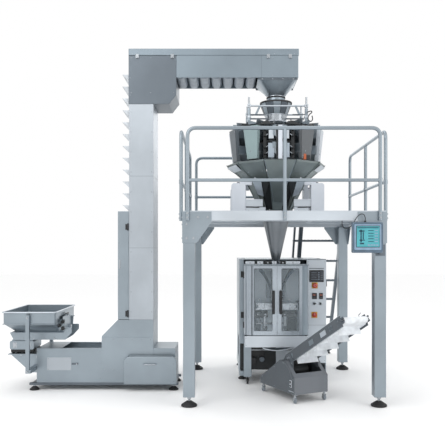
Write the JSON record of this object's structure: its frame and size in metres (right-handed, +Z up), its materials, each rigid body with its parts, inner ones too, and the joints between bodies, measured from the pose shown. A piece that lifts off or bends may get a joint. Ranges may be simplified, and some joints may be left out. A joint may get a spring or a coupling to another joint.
{
  "type": "vertical form fill seal packing line",
  "caption": "Weigh-and-pack line: bucket elevator, multihead weigher on a railed platform, vertical form fill sealer with guard doors, and a take-off conveyor.",
  "frame": {"origin": "centre of the bottom of the whole line's box, on the floor", "axes": "+Z up, +X along the line from the loading hopper to the sealer, +Y away from the operator"},
  "size_m": [4.179, 3.8334, 3.91],
  "materials": {
    "bright_steel": "bright satin stainless",
    "bucket": "moulded food-grade buckets, satin",
    "casing": "brushed stainless casing sheet, blue-grey",
    "dark_steel": "darker brushed and bead-blasted steel",
    "film": "wound laminate film",
    "painted": "smooth pale grey powder coat",
    "panel_plastic": "blue-grey moulded housing",
    "red_plastic": "red switch plastic",
    "rubber": "matt black rubber",
    "steel": "brushed stainless sheet, lightly hazed",
    "white_belt": "white food-grade belt with flights"
  },
  "bodies": {
    "root": {"platform_leg_front_left": "steel", "platform_foot_front_left": "rubber", "platform_leg_front_right": "steel", "platform_foot_front_right": "rubber", "platform_leg_rear_left": "steel", "platform_foot_rear_left": "rubber", "platform_leg_rear_right": "steel", "platform_foot_rear_right": "rubber", "deck_frame": "bright_steel", "deck_plate": "steel", "guard_rail_front": "steel", "guard_rail_left": "steel", "guard_rail_right": "steel", "guard_rail_rear": "steel", "ladder": "dark_steel", "elevator_skid": "dark_steel", "base_trough": "steel", "boot_casing": "steel", "column_casing": "casing", "head_corner_casing": "dark_steel", "head_casing": "casing", "head_cover": "steel", "gear_motor": "casing", "discharge_hopper": "dark_steel", "catch_box": "steel", "feed_hopper": "steel", "feeder_drive": "dark_steel", "feeder_stand": "steel", "weigher_base": "painted", "weigher_body": "steel", "hopper_ring": "steel", "discharge_bowl": "steel", "discharge_cone": "dark_steel", "infeed_funnel": "steel", "machine_frame": "steel", "control_box": "bright_steel", "forming_tube": "steel", "pull_belt_unit": "dark_steel", "panel_bracket": "dark_steel", "panel_cable": "rubber", "conveyor_base": "dark_steel", "conveyor_frame": "dark_steel", "conveyor_belt": "white_belt"},
    "riser_chain": {"riser_buckets": "bucket"},
    "head_chain": {"head_buckets": "bucket"},
    "base_chain": {"base_buckets": "bucket"},
    "head_sprockets": {"head_shaft": "dark_steel"},
    "riser_door": {"riser_cover": "steel"},
    "gate": {"feed_gate": "steel"},
    "vibrating_pan": {"feeder_pan": "bright_steel"},
    "vibrating_cone": {"dispersion_cone": "bright_steel"},
    "door_left": {"guard_door_left": "bright_steel"},
    "door_right": {"guard_door_right": "bright_steel"},
    "estop": {"estop_button": "red_plastic"},
    "isolator": {"main_switch": "red_plastic"},
    "film": {"film_roll": "film"},
    "jaw_front": {"sealing_jaw_front": "bright_steel"},
    "jaw_rear": {"sealing_jaw_rear": "bright_steel"},
    "panel": {"operator_panel": "panel_plastic"},
    "head_roller": {"conveyor_head_roller": "rubber"}
  },
  "joints": [
    {"name": "riser_lift", "type": "slide", "parent": "root", "child": "riser_chain", "axis": [0, 0, 1], "range_m": [0, 0.136]},
    {"name": "head_return", "type": "slide", "parent": "root", "child": "head_chain", "axis": [-1, 0, 0], "range_m": [0, 0.136]},
    {"name": "base_carry", "type": "slide", "parent": "root", "child": "base_chain", "axis": [1, 0, 0], "range_m": [0, 0.136]},
    {"name": "sprocket_turn", "type": "hinge", "parent": "root", "child": "head_sprockets", "pos_m": [1.0905, -0.35832, 3.7], "axis": [0, 1, 0], "range_deg": [0, 111.32]},
    {"name": "riser_door_hinge", "type": "hinge", "parent": "root", "child": "riser_door", "pos_m": [-0.6995, -0.61632, 1.4], "axis": [0, 0, 1], "range_deg": [0, 110]},
    {"name": "gate_lift", "type": "slide", "parent": "root", "child": "gate", "axis": [0, 0, 1], "range_m": [0, 0.06]},
    {"name": "pan_vibration", "type": "slide", "parent": "root", "child": "vibrating_pan", "axis": [1, 0, 0], "range_m": [-0.002, 0.002], "stiffness_N_per_m": 60000},
    {"name": "cone_vibration", "type": "slide", "parent": "root", "child": "vibrating_cone", "axis": [0, 0, 1], "range_m": [0, 0.002], "stiffness_N_per_m": 60000},
    {"name": "door_left_hinge", "type": "hinge", "parent": "root", "child": "door_left", "pos_m": [0.6255, -0.41432, 1], "axis": [0, 0, 1], "range_deg": [-110, 0]},
    {"name": "door_right_hinge", "type": "hinge", "parent": "root", "child": "door_right", "pos_m": [1.3775, -0.41432, 1], "axis": [0, 0, 1], "range_deg": [0, 110]},
    {"name": "estop_press", "type": "slide", "parent": "root", "child": "estop", "axis": [0, 1, 0], "range_m": [0, 0.006], "stiffness_N_per_m": 800},
    {"name": "isolator_turn", "type": "hinge", "parent": "root", "child": "isolator", "pos_m": [1.4745, -0.30532, 0.823], "axis": [0, 1, 0], "range_deg": [0, 90]},
    {"name": "film_unwind", "type": "hinge", "parent": "root", "child": "film", "pos_m": [1.1005, 0.67168, 0.56], "axis": [1, 0, 0], "continuous": true},
    {"name": "jaw_front_close", "type": "slide", "parent": "root", "child": "jaw_front", "axis": [0, 1, 0], "range_m": [0, 0.029]},
    {"name": "jaw_rear_close", "type": "slide", "parent": "root", "child": "jaw_rear", "axis": [0, -1, 0], "range_m": [0, 0.029]},
    {"name": "panel_swing", "type": "hinge", "parent": "root", "child": "panel", "pos_m": [1.9725, -1.41332, 1.605], "axis": [0, 0, 1], "range_deg": [0, 90]},
    {"name": "roller_spin", "type": "hinge", "parent": "root", "child": "head_roller", "pos_m": [1.63121, -1.81205, 0.93722], "axis": [0.8926, 0.4509, 0], "continuous": true}
  ],
  "couplings": [
    {"joint": "head_return", "follows": "riser_lift", "ratio": 1},
    {"joint": "base_carry", "follows": "riser_lift", "ratio": 1},
    {"joint": "sprocket_turn", "follows": "riser_lift", "rad_per_m": 14.286},
    {"joint": "jaw_rear_close", "follows": "jaw_front_close", "ratio": 1}
  ]
}
